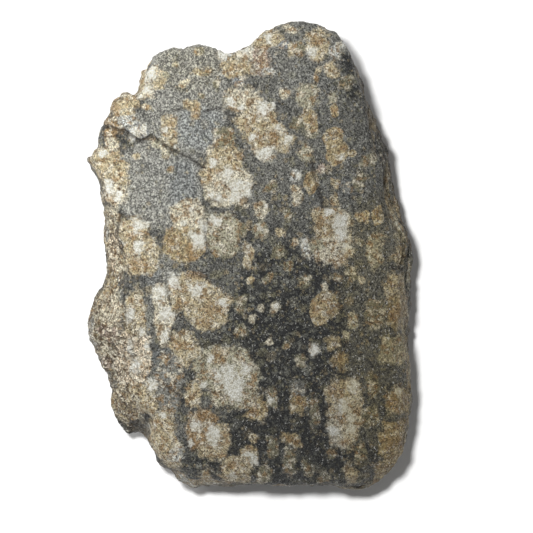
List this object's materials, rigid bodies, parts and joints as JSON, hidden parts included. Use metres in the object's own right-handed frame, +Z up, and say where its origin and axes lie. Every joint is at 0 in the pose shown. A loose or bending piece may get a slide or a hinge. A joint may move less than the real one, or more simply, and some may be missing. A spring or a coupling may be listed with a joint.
{
  "type": "eucrite meteorite",
  "caption": "Loose brecciated meteorite stone with one flat worn face, a rough broken left flank, a rounded right flank and a flat spot underneath to lie on.",
  "frame": {"origin": "middle of the bounding box at its floor, under the stone", "axes": "+Z up, out of the worn face; +Y along the stone's long side, towards its narrow end; +X towards its rounded flank"},
  "size_m": [0.0324, 0.0468, 0.013],
  "materials": {
    "brecciated_stone": "matte dark grey breccia with cream, tan and brown clasts"
  },
  "bodies": {
    "root": {"meteorite": "brecciated_stone"}
  },
  "joints": []
}
